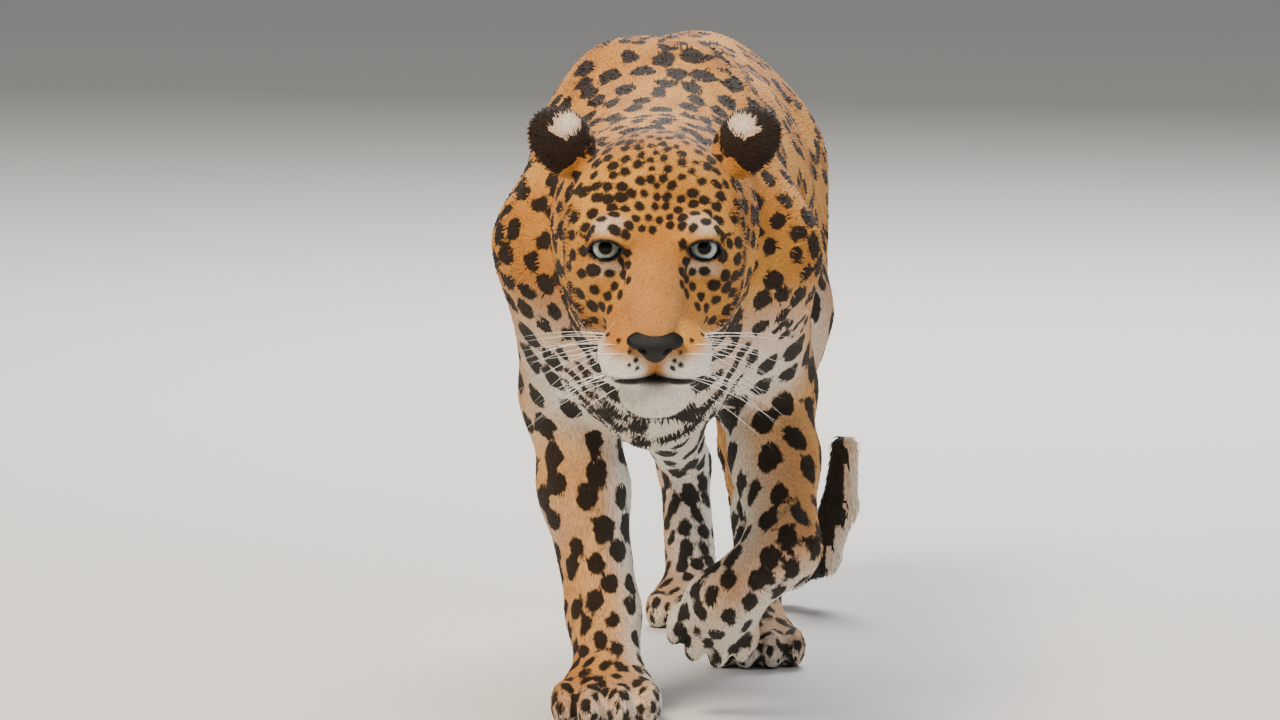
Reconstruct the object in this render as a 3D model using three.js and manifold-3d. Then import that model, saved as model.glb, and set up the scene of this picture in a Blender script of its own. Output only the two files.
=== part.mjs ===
// Leopard walking towards the viewer: right fore paw planted, left fore paw lifted and hanging.
// Millimetres, +Z up, head at -Y, the animal's left at +X. Lengths are set from a large male.
import * as THREE from "three";
import Module from "manifold-3d";

const wasm = await Module();
wasm.setup();

// ---- driving sizes ----
const GAP = 0.3; // thin cut between neighbouring nodes
const EYE_SPACING = 86; // centre to centre of the eyes
const EYE_RADIUS = 17.5;
const LID = 3.6; // thickness of the lids over the eyeball
const HEAD_PITCH = 33; // degrees the face points below level
const EYE_LINE = [0, -480, 496]; // point between the eyes
const NECK_CUT = -172; // y of the cut between torso and neck
const HEAD_CUT = -336; // y of the cut between neck and head
const PAW_WIDTH = 106;
const HIND_PAW_WIDTH = 94;
const TAIL_RADIUS = 20;

// joints of the four legs, and the radii of the limb there
const LEGS = {
  fore_right: {
    shoulder: [-92, -98, 457], elbow: [-80, 35, 298], wrist: [-48, 8, 98], knuckle: [-43, -24, 41],
  },
  fore_left: {
    shoulder: [97, -90, 450], elbow: [107, 60, 300], wrist: [122, -62, 168], knuckle: [66, -56, 118],
  },
  hind_right: { hip: [-8, 622, 452], knee: [0, 545, 264], hock: [30, 735, 150], knuckle: [38, 688, 34] },
  hind_left: { hip: [90, 620, 452], knee: [122, 438, 335], hock: [102, 474, 132], knuckle: [98, 392, 36] },
};

// tail from root to tip: place and radius
const TAIL = [
  [50, 735, 522, 38], [57, 800, 440, 28], [70, 860, 285, 22], [84, 872, 150, 21],
  [100, 850, 68, TAIL_RADIUS], [135, 815, 36, TAIL_RADIUS], [166, 792, 52, TAIL_RADIUS],
  [185, 786, 102, 19], [190, 789, 160, 16],
];

// ---- vectors ----
const add = (a, b, s = 1) => [a[0] + b[0] * s, a[1] + b[1] * s, a[2] + b[2] * s];
const sub = (a, b) => add(a, b, -1);
const dot = (a, b) => a[0] * b[0] + a[1] * b[1] + a[2] * b[2];
const cross = (a, b) => [a[1] * b[2] - a[2] * b[1], a[2] * b[0] - a[0] * b[2], a[0] * b[1] - a[1] * b[0]];
const unit = (a) => add([0, 0, 0], a, 1 / Math.hypot(...a));
const mix = (a, b, t) => add(a, sub(b, a), t);

const pitch = (HEAD_PITCH * Math.PI) / 180;
const FORWARD = [0, -Math.cos(pitch), -Math.sin(pitch)];
const UP = [0, -Math.sin(pitch), Math.cos(pitch)];
const RIGHT = [1, 0, 0];
const HEAD_AXES = [[-1, 0, 0], FORWARD, UP];
// a place on the head: sideways, forward of the eye line, above the eye line
const onHead = (x, f, u) => add(add(add(EYE_LINE, RIGHT, x), FORWARD, f), UP, u);

// ---- distance fields of simple forms ----
function limb(a, ra, b, rb) {
  const ab = sub(b, a);
  const length2 = dot(ab, ab);
  return (p) => {
    const ap = sub(p, a);
    const t = Math.min(1, Math.max(0, dot(ap, ab) / length2));
    return Math.hypot(ap[0] - ab[0] * t, ap[1] - ab[1] * t, ap[2] - ab[2] * t) - (ra + (rb - ra) * t);
  };
}

function ball(centre, radii, axes = null) {
  return (p) => {
    const q = sub(p, centre);
    const l = axes ? axes.map((axis) => dot(q, axis)) : q;
    const k0 = Math.hypot(l[0] / radii[0], l[1] / radii[1], l[2] / radii[2]);
    const k1 = Math.hypot(l[0] / radii[0] ** 2, l[1] / radii[1] ** 2, l[2] / radii[2] ** 2);
    return k1 < 1e-9 ? -Math.min(...radii) : (k0 * (k0 - 1)) / k1;
  };
}

function smoothMin(a, b, k) {
  const h = Math.max(k - Math.abs(a - b), 0) / k;
  return Math.min(a, b) - (h * h * k) / 4;
}

// forms: [field, blend width] joined one after another
function blend(forms) {
  return (p) => {
    let d = forms[0][0](p);
    for (let i = 1; i < forms.length; i++) d = smoothMin(d, forms[i][0](p), forms[i][1]);
    return d;
  };
}

// ---- trunk and neck ----
const TRUNK = [
  [ball([4, 90, 452], [130, 262, 178])],
  [ball([28, 400, 448], [131, 270, 148]), 60],
  [ball([42, 640, 474], [98, 150, 119]), 60],
  [ball([0, -70, 385], [78, 100, 126]), 60],
  [limb([-34, 12, 600], 34, [-92, -92, 460], 50), 50],
  [limb([38, 12, 600], 34, [97, -86, 455], 50), 50],
  [limb([0, 20, 520], 104, [0, -250, 492], 90), 50],
  [limb([0, -250, 492], 90, [0, -385, 512], 72), 40],
  [limb([0, -120, 420], 84, [0, -375, 440], 56), 50],
];

// ---- head ----
const side = (s, x, f, u) => onHead(s * x, f, u);
const SKULL = [
  [ball(onHead(0, -84, -26), [72, 90, 62], HEAD_AXES), 30],
  ...[-1, 1].flatMap((s) => [
    [ball(side(s, 44, -50, -44), [39, 64, 50], HEAD_AXES), 26],
    [ball(side(s, 38, -46, -84), [38, 60, 36], HEAD_AXES), 26],
    [ball(side(s, 37, -6, 14), [23, 23, 13], HEAD_AXES), 14],
  ]),
  [limb(onHead(0, -20, -14), 32, onHead(0, 92, -27), 20), 22],
  [ball(onHead(0, 40, -60), [45, 52, 34], HEAD_AXES), 26],
];
const MUZZLE = [-1, 1].map((s) => [ball(side(s, 24, 84, -55), [29, 32, 27], HEAD_AXES), 10]);
const JAW = [
  [limb(onHead(0, -20, -96), 30, onHead(0, 72, -96), 25), 20],
  [ball(onHead(0, 91, -97), [33, 26, 21], HEAD_AXES), 12],
];
const HEAD = [...SKULL, ...MUZZLE, ...JAW];

// ---- legs ----
// one paw: a pad block, a heel pad and four toes along `ahead`, spread along `across`
function pawForms(knuckle, ahead, across, width) {
  const out = cross(ahead, across);
  const axes = [across, ahead, out];
  const s = width / 106;
  const at = (x, f, u) => add(add(add(knuckle, across, x * s), ahead, f * s), out, u * s);
  return [
    [ball(at(0, 18, -10), [46 * s, 46 * s, 27 * s], axes), 18],
    [ball(at(0, 2, -26), [34 * s, 30 * s, 20 * s], axes), 10],
    ...[-38, -13.5, 13.5, 38].map((x, i) => {
      const f = i === 0 || i === 3 ? 46 : 60;
      return [ball(at(x, f, -20), [16 * s, 30 * s, 24 * s], axes), 7];
    }),
  ];
}

const forward = (heading) => [Math.sin(heading), -Math.cos(heading), 0];
const sideOf = (ahead) => unit(cross(ahead, [0, 0, 1])).map((v) => -v);

const lifted = unit([-0.27, 0.28, -0.92]);
const PAWS = {
  fore_right: pawForms(LEGS.fore_right.knuckle, forward(-0.05), sideOf(forward(-0.05)), PAW_WIDTH),
  fore_left: pawForms(
    LEGS.fore_left.knuckle, lifted, unit(add([1, 0, 0], lifted, -lifted[0])), PAW_WIDTH * 0.86),
  hind_right: pawForms(LEGS.hind_right.knuckle, forward(0), sideOf(forward(0)), HIND_PAW_WIDTH),
  hind_left: pawForms(LEGS.hind_left.knuckle, forward(0.05), sideOf(forward(0.05)), HIND_PAW_WIDTH),
};

function foreLeg(name) {
  const { shoulder, elbow, wrist, knuckle } = LEGS[name];
  const mid = mix(elbow, wrist, 0.42);
  const triceps = add(mix(shoulder, elbow, 0.35), [0, 74, 18]);
  return [
    [limb(shoulder, 52, elbow, 42), 50],
    [limb(triceps, 46, add(elbow, [0, 8, 22]), 34), 36],
    [limb(elbow, 43, mid, 42), 30],
    [limb(mid, 42, wrist, 35), 24],
    [limb(wrist, 35, knuckle, 33), 16],
    ...PAWS[name],
  ];
}

function hindLeg(name) {
  const { hip, knee, hock, knuckle } = LEGS[name];
  const calf = mix(knee, hock, 0.45);
  const heel = add(hock, unit(sub(hock, knuckle)), 16);
  return [
    [limb(hip, 82, knee, 50), 50],
    [limb(add(hip, [0, 62, -20]), 62, add(mix(knee, hock, 0.3), [0, 26, 12]), 32), 50],
    [limb(knee, 47, calf, 36), 30],
    [limb(calf, 36, hock, 25), 24],
    [limb(mix(knee, hock, 0.55), 24, heel, 17), 20],
    [limb(hock, 26, knuckle, 27), 18],
    ...PAWS[name],
  ];
}

const LEG_FORMS = {
  fore_right: foreLeg("fore_right"),
  fore_left: foreLeg("fore_left"),
  hind_right: hindLeg("hind_right"),
  hind_left: hindLeg("hind_left"),
};
const TAIL_FORMS = TAIL.slice(1).map((b, i) => [
  limb(TAIL[i].slice(0, 3), TAIL[i][3], b.slice(0, 3), b[3]), i ? 10 : 40,
]);

const fieldOf = (name) => blend([...TRUNK, ...LEG_FORMS[name]]);
const legFields = Object.fromEntries(Object.keys(LEG_FORMS).map((name) => [name, fieldOf(name)]));
const tailField = blend([...TRUNK, ...TAIL_FORMS]);
const headField = blend([...TRUNK, ...HEAD]);
const wholeField = (p) => Math.min(headField(p), tailField(p), ...Object.values(legFields).map((f) => f(p)));

// ---- closed surface of a field inside a box ----
// One vertex in every grid cell that the surface crosses, one four-sided face round every crossed
// grid edge; the outermost layer of the grid counts as outside, which closes the surface there.
function surfaceOf(field, lo, hi, cell, offset = 0) {
  const n = [0, 1, 2].map((i) => Math.ceil((hi[i] - lo[i]) / cell) + 1);
  const at = (i, j, k) => i + n[0] * (j + n[1] * k);
  const place = (i, j, k) => [lo[0] + i * cell, lo[1] + j * cell, lo[2] + k * cell];
  const inner = (i, j, k) => i > 0 && j > 0 && k > 0 && i < n[0] - 1 && j < n[1] - 1 && k < n[2] - 1;
  const value = new Float64Array(n[0] * n[1] * n[2]);
  for (let k = 0; k < n[2]; k++)
    for (let j = 0; j < n[1]; j++)
      for (let i = 0; i < n[0]; i++) {
        const f = field(place(i, j, k)) - offset;
        value[at(i, j, k)] = inner(i, j, k) ? f : Math.max(f, cell / 2);
      }
  settle(value, n, at, cell);

  const CORNERS = [0, 1, 2, 3, 4, 5, 6, 7].map((c) => [c & 1, (c >> 1) & 1, c >> 2]);
  const EDGES = [
    [0, 1], [2, 3], [4, 5], [6, 7], [0, 2], [1, 3], [4, 6], [5, 7], [0, 4], [1, 5], [2, 6], [3, 7],
  ];
  const vertexOf = new Map();
  const vertices = [];
  for (let k = 0; k < n[2] - 1; k++)
    for (let j = 0; j < n[1] - 1; j++)
      for (let i = 0; i < n[0] - 1; i++) {
        const v = CORNERS.map(([a, b, c]) => value[at(i + a, j + b, k + c)]);
        if (v.every((x) => x < 0) || v.every((x) => x >= 0)) continue;
        const crossings = EDGES.filter(([a, b]) => v[a] < 0 !== v[b] < 0).map(([a, b]) => {
          const t = v[a] / (v[a] - v[b]);
          return CORNERS[a].map((x, m) => x + (CORNERS[b][m] - x) * t);
        });
        const mean = crossings.reduce((s, c) => add(s, c, 1 / crossings.length), [0, 0, 0]);
        let p = add(place(i, j, k), mean, cell);
        if (inner(i, j, k) && inner(i + 1, j + 1, k + 1)) p = pullTo(field, p, offset, cell);
        vertexOf.set(at(i, j, k), vertices.length);
        vertices.push(p);
      }

  const triangles = [];
  const quad = (a, b, c, d) => {
    const [A, B, C, D] = [a, b, c, d].map((q) => vertices[q]);
    const first = Math.hypot(...sub(A, C)) <= Math.hypot(...sub(B, D));
    triangles.push(...(first ? [a, b, c, a, c, d] : [b, c, d, b, d, a]));
  };
  for (let k = 0; k < n[2] - 1; k++)
    for (let j = 0; j < n[1] - 1; j++)
      for (let i = 0; i < n[0] - 1; i++) {
        const here = value[at(i, j, k)] < 0;
        const turn = (next, cells) => {
          if (here === next < 0) return;
          const c = cells.map(([a, b, d]) => vertexOf.get(at(i + a, j + b, k + d)));
          quad(...(here ? c : c.reverse()));
        };
        if (j && k) turn(value[at(i + 1, j, k)], [[0, -1, -1], [0, 0, -1], [0, 0, 0], [0, -1, 0]]);
        if (i && k) turn(value[at(i, j + 1, k)], [[-1, 0, -1], [-1, 0, 0], [0, 0, 0], [0, 0, -1]]);
        if (i && j) turn(value[at(i, j, k + 1)], [[-1, -1, 0], [0, -1, 0], [0, 0, 0], [-1, 0, 0]]);
      }
  return { vertices, triangles };
}

// Fills grid corners wherever a face or a cell has its inside corners only diagonal to each other,
// so that the surface never touches itself at an edge or a point.
function settle(value, n, at, cell) {
  const faces = [[[1, 0, 0], [0, 1, 0]], [[0, 1, 0], [0, 0, 1]], [[1, 0, 0], [0, 0, 1]]];
  for (let round = 0, changed = true; changed && round < 20; round++) {
    changed = false;
    for (let k = 1; k < n[2] - 2; k++)
      for (let j = 1; j < n[1] - 2; j++)
        for (let i = 1; i < n[0] - 2; i++)
          for (const [u, w] of faces) {
            const a = at(i, j, k);
            const b = at(i + u[0], j + u[1], k + u[2]);
            const c = at(i + w[0], j + w[1], k + w[2]);
            const d = at(i + u[0] + w[0], j + u[1] + w[1], k + u[2] + w[2]);
            const [A, B, C, D] = [a, b, c, d].map((q) => value[q] < 0);
            if (A === D && B === C && A !== B) {
              value[A ? b : a] = -cell * 0.2;
              changed = true;
            }
          }
  }
}

// Moves a point along the field's slope until it lies on the surface.
function pullTo(field, p, offset, cell) {
  let q = p;
  for (let step = 0; step < 3; step++) {
    const f = field(q) - offset;
    const e = 0.5;
    const g = [0, 1, 2].map((i) => {
      const d = [0, 0, 0];
      d[i] = e;
      return (field(add(q, d)) - field(sub(q, d))) / (2 * e);
    });
    const g2 = Math.max(dot(g, g), 0.2);
    q = add(q, g, -f / g2);
  }
  const moved = sub(q, p);
  const limit = Math.min(1, (cell * 0.45) / (Math.hypot(...moved) + 1e-9));
  return add(p, moved, limit);
}

// ---- solids ----
function solidFrom(vertices, triangles) {
  return new wasm.Manifold(new wasm.Mesh({
    numProp: 3,
    vertProperties: new Float32Array(vertices.flat()),
    triVerts: new Uint32Array(triangles),
  }));
}

function solidOfGeometry(geometry, matrix = new THREE.Matrix4()) {
  const position = geometry.toNonIndexed().applyMatrix4(matrix).getAttribute("position");
  const seen = new Map();
  const vertices = [];
  const corners = [];
  for (let i = 0; i < position.count; i++) {
    const p = [position.getX(i), position.getY(i), position.getZ(i)];
    const key = p.map((v) => Math.round(v * 1e3)).join();
    if (!seen.has(key)) {
      seen.set(key, vertices.length);
      vertices.push(p);
    }
    corners.push(seen.get(key));
  }
  const triangles = [];
  for (let i = 0; i < corners.length; i += 3) {
    const [a, b, c] = corners.slice(i, i + 3);
    if (a !== b && b !== c && a !== c) triangles.push(a, b, c);
  }
  return solidFrom(vertices, triangles);
}

const fieldSolid = (field, lo, hi, cell, offset = 0) => {
  const { vertices, triangles } = surfaceOf(field, lo, hi, cell, offset);
  return solidFrom(vertices, triangles);
};

function frameAt(origin, x, y, z) {
  const m = new THREE.Matrix4().makeBasis(
    new THREE.Vector3(...x), new THREE.Vector3(...y), new THREE.Vector3(...z));
  return m.setPosition(...origin);
}

// all of space on the side of a plane that its normal points to, as a large box
const FAR = 3000;
function beyond(point, normal, shift = 0) {
  const z = unit(normal);
  const x = unit(cross(Math.abs(z[2]) > 0.9 ? [1, 0, 0] : [0, 0, 1], z));
  const box = new THREE.BoxGeometry(FAR, FAR, FAR);
  return solidOfGeometry(box, frameAt(add(point, z, FAR / 2 + shift), x, cross(z, x), z));
}

// Part of space cut out by planes [point, normal pointing into it], grown by `grow`.
function region(planes, grow = 0) {
  let solid = beyond(planes[0][0], planes[0][1], -grow);
  for (const [point, normal] of planes.slice(1)) {
    solid = solid.subtract(beyond(point, normal.map((v) => -v), grow));
  }
  return solid;
}

// Cuts a solid in two across a plane and leaves the thin gap between the halves.
function cutAcross(solid, point, normal) {
  const ahead = beyond(point, normal, -GAP / 2);
  const behind = beyond(point, normal.map((v) => -v), -GAP / 2);
  return [solid.subtract(ahead), solid.subtract(behind)];
}

// a ball stretched to `radii` along `axes`
function ballSolid(centre, radii, axes, across = 20, rings = 14) {
  const matrix = frameAt(centre, ...axes.map((axis, i) => axis.map((v) => v * radii[i])));
  const solid = solidOfGeometry(new THREE.SphereGeometry(1, across, rings), matrix);
  return solid;
}

// a round bar through points, closed by a small cap at both ends
function barSolid(points, radii, sides = 8) {
  const vertices = [];
  const triangles = [];
  let x = null;
  points.forEach((p, i) => {
    const along = unit(sub(points[Math.min(i + 1, points.length - 1)], points[Math.max(i - 1, 0)]));
    const seed = x ?? (Math.abs(along[2]) > 0.9 ? [1, 0, 0] : [0, 0, 1]);
    x = unit(add(seed, along, -dot(seed, along)));
    const y = cross(along, x);
    for (let s = 0; s < sides; s++) {
      const a = (2 * Math.PI * s) / sides;
      vertices.push(add(add(p, x, radii[i] * Math.cos(a)), y, radii[i] * Math.sin(a)));
    }
  });
  const last = (points.length - 1) * sides;
  for (let i = 0; i < last; i += sides)
    for (let s = 0; s < sides; s++) {
      const t = (s + 1) % sides;
      triangles.push(i + s, i + t, i + sides + t, i + s, i + sides + t, i + sides + s);
    }
  const start = vertices.push(add(points[0], unit(sub(points[0], points[1])), radii[0] * 0.6)) - 1;
  const end = vertices.push(
    add(points.at(-1), unit(sub(points.at(-1), points.at(-2))), radii.at(-1) * 0.6)) - 1;
  for (let s = 0; s < sides; s++) {
    const t = (s + 1) % sides;
    triangles.push(start, t, s, end, last + s, last + t);
  }
  return solidFrom(vertices, triangles);
}

function largestBody(solid) {
  const bodies = solid.decompose();
  return bodies.reduce((a, b) => (Math.abs(b.volume()) > Math.abs(a.volume()) ? b : a));
}

// ---- regions of the legs, the tail, the neck and the head ----
const FLOOR = beyond([0, 0, 0], [0, 0, -1]);
const RUMP_END = [[50, 772 - GAP, 520], unit([0, -1, 0.12])];
const REGIONS = {
  fore_right: [
    [[-36, 0, 250], unit([-1, 0, -0.23])], [[-100, 0, 404], unit([-0.2, 0, -1])],
    [[0, 128, 300], [0, -1, 0]], [[0, NECK_CUT + GAP, 300], [0, 1, 0]],
  ],
  fore_left: [
    [[36, 0, 250], unit([1, 0, -0.23])], [[100, 0, 404], unit([0.2, 0, -1])],
    [[0, 146, 300], [0, -1, 0]], [[0, NECK_CUT + GAP, 300], [0, 1, 0]],
  ],
  hind_right: [
    [[38, 600, 300], unit([-1, 0, -0.26])], [[-60, 600, 462], unit([-0.3, 0, -1])],
    [[0, 478, 300], [0, 1, 0]], RUMP_END,
  ],
  hind_left: [
    [[42, 600, 300], [1, 0, 0]], [[140, 600, 462], unit([0.3, 0, -1])],
    [[0, 420, 400], unit([0, 1, -0.6])], RUMP_END,
  ],
  tail: [[[50, 772, 520], unit([0, 1, -0.12])]],
  front: [[[0, NECK_CUT, 400], [0, -1, 0]]],
};

const nodes = {};
const TAWNY = 0xc9924f;
const PALE = 0xd9c6a4;

function keep(name, solid, colour) {
  nodes[name] = { solid: largestBody(solid), colour };
}

// torso: everything but the regions of the legs, the tail and the neck
let torso = fieldSolid(wholeField, [-190, -215, 215], [215, 830, 680], 34);
for (const planes of Object.values(REGIONS)) torso = torso.subtract(region(planes, GAP));
keep("torso", torso, TAWNY);

// legs: three cuts across each
const LEG_BOXES = {
  fore_right: [[-170, -200, -20], [60, 160, 440]],
  fore_left: [[-40, -200, -20], [200, 180, 440]],
  hind_right: [[-130, 440, -20], [140, 800, 500]],
  hind_left: [[0, 250, -20], [215, 800, 500]],
};
const LEG_PARTS = {
  fore: ["upper_arm", "forearm", "paw"],
  hind: ["thigh", "shank", "metatarsus", "paw"],
};
for (const [name, planes] of Object.entries(REGIONS).slice(0, 4)) {
  const joints = Object.values(LEGS[name]);
  const [lo, hi] = LEG_BOXES[name];
  const parts = LEG_PARTS[name.slice(0, 4)];
  const fore = parts.length === 3;
  const first = fore ? add(joints[1], [0, 0, -6]) : mix(joints[1], joints[2], 0.1);
  const cuts = fore
    ? [first, mix(joints[2], joints[3], 0.12)]
    : [first, joints[2], mix(joints[2], joints[3], 0.8)];
  const along = fore
    ? [[0, 0, -1], unit(sub(joints[2], joints[1]))]
    : [unit(add(sub(joints[2], joints[1]), [0, 0, -60])), unit(add(unit(sub(joints[2], joints[1])),
      unit(sub(joints[3], joints[2])))), unit(sub(joints[3], joints[2]))];
  const clip = region(planes);
  const coarse = fieldSolid(legFields[name], lo, hi, 22).intersect(clip).subtract(FLOOR);
  const fine = fieldSolid(legFields[name], lo, [hi[0], hi[1], 240], 13.5).intersect(clip).subtract(FLOOR);
  let rest = coarse;
  parts.slice(0, -1).forEach((part, i) => {
    const [near, far] = cutAcross(rest, cuts[i], along[i]);
    keep(`${name}_${part}`, near, TAWNY);
    rest = far;
  });
  keep(`${name}_paw`, cutAcross(fine, cuts.at(-1), along.at(-1))[1], PALE);
}

// tail: three lengths
let tail = fieldSolid(tailField, [20, 740, 0], [225, 910, 600], 18).intersect(region(REGIONS.tail));
const TAIL_CUTS = [["tail_base", 2], ["tail_middle", 5]];
for (const [name, i] of TAIL_CUTS) {
  const here = TAIL[i].slice(0, 3);
  const [near, far] = cutAcross(tail, here, unit(sub(TAIL[i + 1].slice(0, 3), TAIL[i - 1].slice(0, 3))));
  keep(name, near, TAWNY);
  tail = far;
}
keep("tail_tip", tail, 0x2a1a10);

// neck
const neckLo = [-190, HEAD_CUT - 40, 250];
const neck = fieldSolid(wholeField, neckLo, [190, NECK_CUT + 40, 680], 23);
const headCut = [[0, HEAD_CUT, 480], [0, -1, 0]];
keep("neck", neck.intersect(region(REGIONS.front)).subtract(region([headCut], GAP)), TAWNY);

// ---- head: skull, muzzle, jaw, nose, eyes, ears ----
const gaze = (s) => unit([s * 0.12, -1, -0.02]);
const eyePlace = (s) => [s * (EYE_SPACING / 2), EYE_LINE[1] + EYE_RADIUS - 1, EYE_LINE[2]];
const eyeAxes = (s) => {
  const z = gaze(s);
  const x = unit(cross([0, 0, 1], z));
  return [x, cross(z, x), z];
};

// a bar of lens section along the gaze: the opening between the lids
function lidOpening(s, width, height) {
  const radius = (width * width + height * height) / (2 * height);
  const [x, y, z] = eyeAxes(s);
  const tilt = unit(add(x, y, s * -0.16));
  const rise = cross(z, tilt);
  const bars = [-1, 1].map((d) => {
    const geometry = new THREE.CylinderGeometry(radius, radius, 60, 40);
    const centre = add(add(eyePlace(s), z, 30), rise, d * (radius - height));
    return solidOfGeometry(geometry, frameAt(centre, tilt, z, cross(tilt, z)));
  });
  return bars[0].intersect(bars[1]);
}

const MOUTH_POINT = onHead(0, 112, -64);
const MOUTH_DOWN = unit(add(add([0, 0, 0], FORWARD, 0.42), UP, -0.9));
const MUZZLE_POINT = onHead(0, 40, -50);

let skull = fieldSolid(headField, [-110, -600, 320], [110, HEAD_CUT + 30, 640], 14);
skull = skull.intersect(region([headCut]));
for (const s of [-1, 1]) {
  const axes = eyeAxes(s);
  skull = skull
    .add(ballSolid(eyePlace(s), Array(3).fill(EYE_RADIUS + LID), axes, 16, 10))
    .subtract(ballSolid(eyePlace(s), Array(3).fill(EYE_RADIUS + GAP + 0.3), axes, 16, 10))
    .subtract(lidOpening(s, 16, 9.5));
  const eye = ballSolid(eyePlace(s), Array(3).fill(EYE_RADIUS), axes, 14, 10);
  keep(s < 0 ? "eye_right" : "eye_left", eye, 0xb8c4c4);
}

// mouth: where the cut between muzzle and jaw meets the outside of the head
function lipPath(drop) {
  const middle = onHead(0, 62, -64);
  const inside = add(middle, MOUTH_DOWN, dot(sub(MOUTH_POINT, middle), MOUTH_DOWN) + drop);
  const ahead = unit(cross(RIGHT, MOUTH_DOWN)).map((v) => -v);
  const sign = dot(ahead, FORWARD) > 0 ? 1 : -1;
  const path = [];
  for (let a = -100; a <= 100; a += 10) {
    const t = (a * Math.PI) / 180;
    const way = add(add([0, 0, 0], ahead, sign * Math.cos(t)), RIGHT, Math.sin(t));
    let reach = 10;
    while (reach < 90 && headField(add(inside, way, reach)) < 0) reach += 0.5;
    path.push(add(inside, way, reach - 1.5));
  }
  return path;
}

const lip = (drop, radius) => {
  const path = lipPath(drop);
  const swell = (i) => 0.55 + 0.45 * Math.sin((Math.PI * i) / (path.length - 1));
  return barSolid(path, path.map((_, i) => radius * swell(i)));
};
const face = [[MUZZLE_POINT, FORWARD]];
const below = [MOUTH_POINT, MOUTH_DOWN];
const above = [MOUTH_POINT, MOUTH_DOWN.map((v) => -v)];
const jawBack = [onHead(0, 4, -100), FORWARD];

const fineHead = fieldSolid(headField, [-90, -610, 320], [90, -440, 520], 11);
const nosePad = blend([
  [ball(onHead(0, 104, -25), [26, 14, 9], HEAD_AXES)],
  [ball(onHead(0, 106, -36), [10, 10, 10], HEAD_AXES), 12],
]);
const noseBox = [onHead(0, 104, -26).map((v) => v - 40), onHead(0, 104, -26).map((v) => v + 40)];
const nostril = (s) => ballSolid(onHead(s * 12.5, 117, -28), [5.5, 8, 4], HEAD_AXES, 12, 8);
const philtrumLine = [onHead(0, 123, -42), onHead(0, 120, -52), onHead(0, 116, -64)];
const philtrum = barSolid(philtrumLine, [1.6, 1.6, 1.6], 6);
let nose = fieldSolid(nosePad, ...noseBox, 6);
for (const s of [-1, 1]) nose = nose.subtract(nostril(s));
const noseRoom = fieldSolid(nosePad, ...noseBox, 6, GAP + 0.5);

const muzzle = fineHead
  .intersect(region([...face, above]))
  .add(lip(-2.2, 3).subtract(region([below], GAP)))
  .subtract(noseRoom)
  .subtract(philtrum)
  .subtract(region([below], GAP));
const jaw = fineHead
  .intersect(region([jawBack, below]))
  .add(lip(2.2, 3).intersect(region([jawBack, below])));
skull = skull.subtract(region([...face, above], GAP)).subtract(region([jawBack, below], GAP));
keep("muzzle", muzzle, PALE);
keep("lower_jaw", jaw, 0xe6dccb);
keep("nose", nose, 0x1c1412);

// ears: cups turned back, so that their rounded backs face the front
function ear(s) {
  const along = unit([s * 0.62, 0.05, 0.78]);
  const open = unit([s * 0.45, 0.75, -0.45]);
  const wide = unit(cross(open, along));
  const centre = [s * 84, -364, 580];
  const axes = [wide, open, along];
  const outer = ballSolid(centre, [33, 21, 37], axes, 16, 10);
  const hollow = ballSolid(add(centre, open, 9), [27.5, 20, 30], axes, 16, 10);
  const rim = region([[add(centre, open, 9), open]]);
  return outer.subtract(hollow).subtract(rim);
}
const headRoom = fieldSolid(headField, [-110, -600, 320], [110, HEAD_CUT + 60, 640], 14, GAP + 0.3);
for (const s of [-1, 1]) keep(s < 0 ? "ear_right" : "ear_left", ear(s).subtract(headRoom), 0x2a1c14);
keep("head", skull, TAWNY);

// ---- the part ----
const part = new THREE.Group();
part.name = "leopard";
for (const [name, { solid, colour }] of Object.entries(nodes)) {
  const mesh = solid.getMesh();
  const geometry = new THREE.BufferGeometry();
  geometry.setAttribute("position", new THREE.BufferAttribute(mesh.vertProperties, 3));
  geometry.setIndex(new THREE.BufferAttribute(mesh.triVerts, 1));
  geometry.computeVertexNormals();
  const material = new THREE.MeshStandardMaterial({ color: colour, roughness: 0.8 });
  const item = new THREE.Mesh(geometry, material);
  item.name = name;
  part.add(item);
}
const size = new THREE.Box3().setFromObject(part);
const middle = size.getCenter(new THREE.Vector3());
part.position.set(-middle.x, -middle.y, -size.min.z);
part.updateMatrixWorld(true);

export default part;
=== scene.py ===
"""Leopard walking towards the viewer, dressed in its coat. Sizes in millimetres until the meshes
are made; the surface comes from smooth fields of limbs and balls, the marks from seeded layouts."""

import math

import bmesh
import bpy
import numpy as np
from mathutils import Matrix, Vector, kdtree


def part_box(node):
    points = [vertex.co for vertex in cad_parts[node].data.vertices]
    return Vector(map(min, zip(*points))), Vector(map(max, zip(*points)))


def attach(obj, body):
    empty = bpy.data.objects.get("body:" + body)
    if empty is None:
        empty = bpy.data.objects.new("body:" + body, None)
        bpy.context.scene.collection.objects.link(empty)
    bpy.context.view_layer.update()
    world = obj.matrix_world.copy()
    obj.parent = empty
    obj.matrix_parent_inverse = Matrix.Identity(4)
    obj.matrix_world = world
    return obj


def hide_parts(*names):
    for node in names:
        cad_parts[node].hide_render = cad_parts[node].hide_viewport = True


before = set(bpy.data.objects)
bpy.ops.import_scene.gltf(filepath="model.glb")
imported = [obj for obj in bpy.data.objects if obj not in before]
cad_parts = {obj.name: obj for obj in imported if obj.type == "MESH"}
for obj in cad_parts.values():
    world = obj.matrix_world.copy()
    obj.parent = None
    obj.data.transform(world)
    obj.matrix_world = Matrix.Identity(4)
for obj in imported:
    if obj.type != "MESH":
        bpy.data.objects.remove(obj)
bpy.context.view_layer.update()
random = np.random.default_rng(11)

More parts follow.
